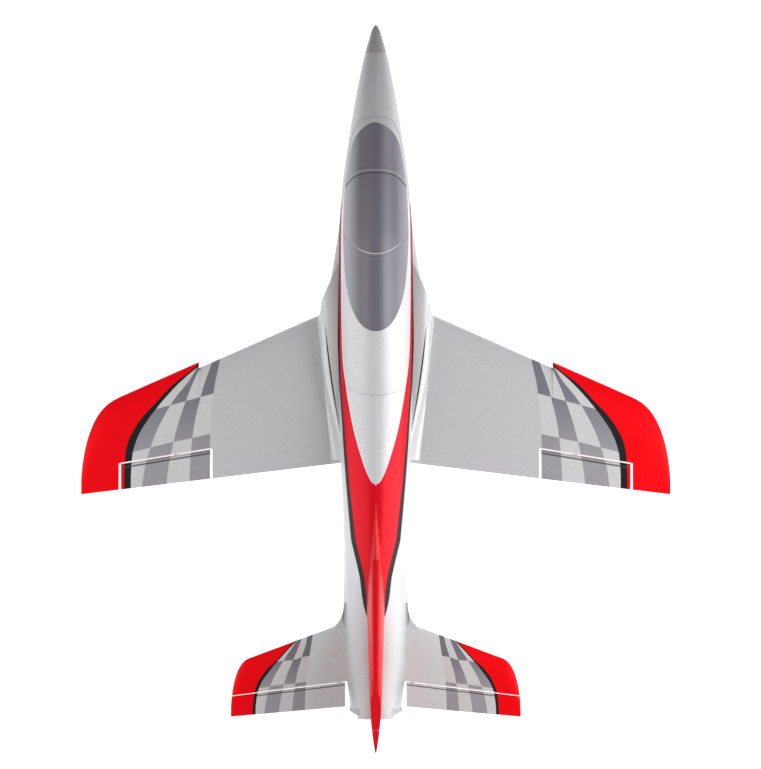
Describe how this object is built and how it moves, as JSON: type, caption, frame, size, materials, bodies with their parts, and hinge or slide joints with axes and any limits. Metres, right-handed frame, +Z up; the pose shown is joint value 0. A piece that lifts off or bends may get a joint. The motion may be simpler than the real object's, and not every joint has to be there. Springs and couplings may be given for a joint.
{
  "type": "rc jet plane",
  "caption": "Radio-controlled foam sport jet with ducted fan, moving control surfaces with servos and pushrods, lift-off canopy hatch and steerable tricycle wheels.",
  "frame": {"origin": "centre of the footprint of the whole aircraft on the ground under its wheels", "axes": "+X starboard, +Y towards the nose, +Z up"},
  "size_m": [0.7764, 0.952, 0.26],
  "materials": {
    "white_plastic": "white nylon",
    "wing_paint": "silver with red tips, black bands and grey check",
    "steel_wire": "spring steel wire",
    "servo_case": "dark plastic case",
    "battery_wrap": "heat-shrink wrap",
    "strap_fabric": "hook-and-loop strap",
    "ply_wood": "birch plywood",
    "black_plastic": "black moulded plastic",
    "canopy_tint": "satin grey-violet moulded plastic, opaque",
    "motor_can": "anodised",
    "rotor_black": "glass-filled nylon",
    "spinner_alloy": "turned",
    "fin_red": "glossy red paint over foam",
    "foam_silver": "silver-painted moulded foam, fine pebble grain",
    "magnet_nickel": "nickel plating",
    "liner_grey": "thin formed sheet",
    "tyre_foam": "dense foam rubber",
    "wheel_white": "nylon hub",
    "nose_grey": "satin grey paint",
    "carbon_tube": "pultruded carbon tube"
  },
  "bodies": {
    "airframe": {"fuselage_left_half": "foam_silver", "fuselage_right_half": "foam_silver", "nose_cap": "nose_grey", "belly_cover": "black_plastic", "cover_screws": "steel_wire", "wing_left": "wing_paint", "wing_right": "wing_paint", "wing_spar": "carbon_tube", "tailplane_left": "wing_paint", "tailplane_right": "wing_paint", "tailplane_spars": "carbon_tube", "fin": "fin_red", "intake_duct_left": "liner_grey", "intake_duct_right": "liner_grey", "fan_housing": "black_plastic", "fan_motor": "motor_can", "thrust_tube": "liner_grey", "exhaust_nozzle": "black_plastic", "battery_tray": "ply_wood", "battery_pack": "battery_wrap", "battery_strap": "strap_fabric", "speed_controller": "black_plastic", "receiver": "black_plastic", "aileron_servos": "servo_case", "elevator_servos": "servo_case", "rudder_servo": "servo_case", "steering_servo": "servo_case", "nose_gear_bracket": "black_plastic", "gear_blocks": "black_plastic", "main_leg_left": "steel_wire", "main_leg_right": "steel_wire"},
    "hatch": {"hatch_shell": "foam_silver", "canopy_glazing": "canopy_tint", "hatch_magnets": "magnet_nickel"},
    "fan": {"fan_rotor": "rotor_black", "fan_spinner": "spinner_alloy"},
    "rudder": {"rudder": "fin_red"},
    "nose_leg": {"nose_leg": "steel_wire"},
    "nose_wheel": {"nose_wheel": "wheel_white", "nose_tyre": "tyre_foam"},
    "main_wheel_right": {"main_wheel_right": "wheel_white", "main_tyre_right": "tyre_foam"},
    "aileron_right": {"aileron_right": "wing_paint", "aileron_horn_right": "white_plastic"},
    "aileron_arm_right": {"aileron_arm_right": "white_plastic"},
    "aileron_rod_right": {"aileron_rod_right": "steel_wire"},
    "elevator_right": {"elevator_right": "wing_paint", "elevator_horn_right": "white_plastic"},
    "elevator_arm_right": {"elevator_arm_right": "white_plastic"},
    "elevator_rod_right": {"elevator_rod_right": "steel_wire"},
    "main_wheel_left": {"main_wheel_left": "wheel_white", "main_tyre_left": "tyre_foam"},
    "aileron_left": {"aileron_left": "wing_paint", "aileron_horn_left": "white_plastic"},
    "aileron_arm_left": {"aileron_arm_left": "white_plastic"},
    "aileron_rod_left": {"aileron_rod_left": "steel_wire"},
    "elevator_left": {"elevator_left": "wing_paint", "elevator_horn_left": "white_plastic"},
    "elevator_arm_left": {"elevator_arm_left": "white_plastic"},
    "elevator_rod_left": {"elevator_rod_left": "steel_wire"}
  },
  "joints": [
    {"name": "hatch_lift", "type": "slide", "parent": "airframe", "child": "hatch", "axis": [0, 0, 1], "range_m": [0, 0.08]},
    {"name": "fan_spin", "type": "hinge", "parent": "airframe", "child": "fan", "pos_m": [0, -0.0857, 0.112], "axis": [0, 1, 0], "continuous": true},
    {"name": "rudder_hinge", "type": "hinge", "parent": "airframe", "child": "rudder", "pos_m": [0, -0.39089, 0.172], "axis": [0, -0.5328, 0.8462], "range_deg": [-22, 22]},
    {"name": "nose_steer", "type": "hinge", "parent": "airframe", "child": "nose_leg", "pos_m": [0, 0.3083, 0.02], "axis": [0, 0, 1], "range_deg": [-24, 24]},
    {"name": "nose_wheel_spin", "type": "hinge", "parent": "nose_leg", "child": "nose_wheel", "pos_m": [0, 0.3083, 0.02], "axis": [1, 0, 0], "continuous": true},
    {"name": "main_wheel_right_spin", "type": "hinge", "parent": "airframe", "child": "main_wheel_right", "pos_m": [0.1285, -0.0457, 0.023], "axis": [1, 0, 0], "continuous": true},
    {"name": "aileron_right_hinge", "type": "hinge", "parent": "airframe", "child": "aileron_right", "pos_m": [0.262, -0.08961, 0.084], "axis": [0.9875, -0.1578, 0], "range_deg": [-22, 22]},
    {"name": "aileron_right_servo", "type": "hinge", "parent": "airframe", "child": "aileron_arm_right", "pos_m": [0.262, -0.03761, 0.084], "axis": [0.9875, -0.1578, 0], "range_deg": [-23, 23]},
    {"name": "aileron_right_rod_pivot", "type": "hinge", "parent": "aileron_arm_right", "child": "aileron_rod_right", "pos_m": [0.262, -0.03761, 0.072], "axis": [0.9875, -0.1578, 0], "range_deg": [-23, 23]},
    {"name": "elevator_right_hinge", "type": "hinge", "parent": "airframe", "child": "elevator_right", "pos_m": [0.047, -0.38877, 0.12], "axis": [0.9923, -0.1239, 0], "range_deg": [-18, 18]},
    {"name": "elevator_right_servo", "type": "hinge", "parent": "airframe", "child": "elevator_arm_right", "pos_m": [0.047, -0.32277, 0.1098], "axis": [0.9923, -0.1239, 0], "range_deg": [-19, 19]},
    {"name": "elevator_right_rod_pivot", "type": "hinge", "parent": "elevator_arm_right", "child": "elevator_rod_right", "pos_m": [0.047, -0.32277, 0.0978], "axis": [0.9923, -0.1239, 0], "range_deg": [-19, 19]},
    {"name": "main_wheel_left_spin", "type": "hinge", "parent": "airframe", "child": "main_wheel_left", "pos_m": [-0.1285, -0.0457, 0.023], "axis": [1, 0, 0], "continuous": true},
    {"name": "aileron_left_hinge", "type": "hinge", "parent": "airframe", "child": "aileron_left", "pos_m": [-0.262, -0.08961, 0.084], "axis": [0.9875, 0.1578, 0], "range_deg": [-22, 22]},
    {"name": "aileron_left_servo", "type": "hinge", "parent": "airframe", "child": "aileron_arm_left", "pos_m": [-0.262, -0.03761, 0.084], "axis": [0.9875, 0.1578, 0], "range_deg": [-23, 23]},
    {"name": "aileron_left_rod_pivot", "type": "hinge", "parent": "aileron_arm_left", "child": "aileron_rod_left", "pos_m": [-0.262, -0.03761, 0.072], "axis": [0.9875, 0.1578, 0], "range_deg": [-23, 23]},
    {"name": "elevator_left_hinge", "type": "hinge", "parent": "airframe", "child": "elevator_left", "pos_m": [-0.047, -0.38877, 0.12], "axis": [0.9923, 0.1239, 0], "range_deg": [-18, 18]},
    {"name": "elevator_left_servo", "type": "hinge", "parent": "airframe", "child": "elevator_arm_left", "pos_m": [-0.047, -0.32277, 0.1098], "axis": [0.9923, 0.1239, 0], "range_deg": [-19, 19]},
    {"name": "elevator_left_rod_pivot", "type": "hinge", "parent": "elevator_arm_left", "child": "elevator_rod_left", "pos_m": [-0.047, -0.32277, 0.0978], "axis": [0.9923, 0.1239, 0], "range_deg": [-19, 19]}
  ],
  "couplings": [
    {"joint": "nose_steer", "follows": "rudder_hinge", "ratio": 1},
    {"joint": "aileron_right_servo", "follows": "aileron_right_hinge", "ratio": 1},
    {"joint": "aileron_right_rod_pivot", "follows": "aileron_right_hinge", "ratio": -1},
    {"joint": "elevator_right_servo", "follows": "elevator_right_hinge", "ratio": 1},
    {"joint": "elevator_right_rod_pivot", "follows": "elevator_right_hinge", "ratio": -1},
    {"joint": "aileron_left_servo", "follows": "aileron_left_hinge", "ratio": 1},
    {"joint": "aileron_left_rod_pivot", "follows": "aileron_left_hinge", "ratio": -1},
    {"joint": "elevator_left_servo", "follows": "elevator_left_hinge", "ratio": 1},
    {"joint": "elevator_left_rod_pivot", "follows": "elevator_left_hinge", "ratio": -1}
  ]
}
